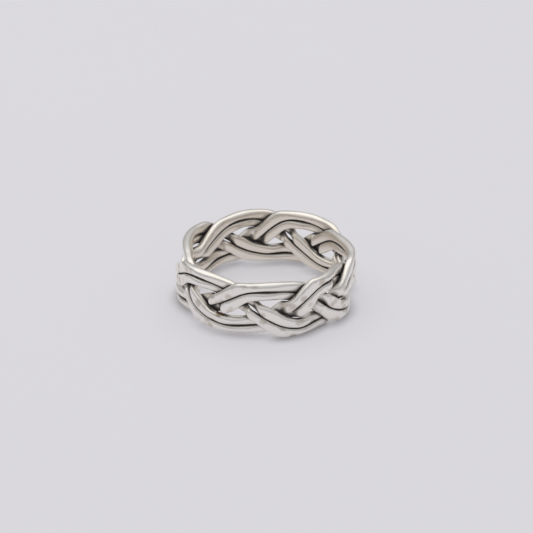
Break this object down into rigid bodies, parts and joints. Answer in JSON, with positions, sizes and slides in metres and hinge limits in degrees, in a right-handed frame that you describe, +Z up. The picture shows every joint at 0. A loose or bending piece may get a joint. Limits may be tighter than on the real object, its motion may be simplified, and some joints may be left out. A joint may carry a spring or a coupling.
{
  "type": "braided band ring",
  "caption": "Finger ring whose band is a flat braid of doubled wires, open inside and scalloped along both edges, lying on its side.",
  "frame": {"origin": "middle of the ring on the surface it lies on", "axes": "+Z up along the finger's axis, -Y towards the front of the picture, +X to its right"},
  "size_m": [0.0218, 0.0216, 0.0074],
  "materials": {
    "silver": "hammered silver, hand polished, dark tarnish in the grooves"
  },
  "bodies": {
    "root": {"strand_1_upper_wire": "silver", "strand_1_lower_wire": "silver", "strand_2_upper_wire": "silver", "strand_2_lower_wire": "silver", "strand_3_upper_wire": "silver", "strand_3_lower_wire": "silver"}
  },
  "joints": []
}
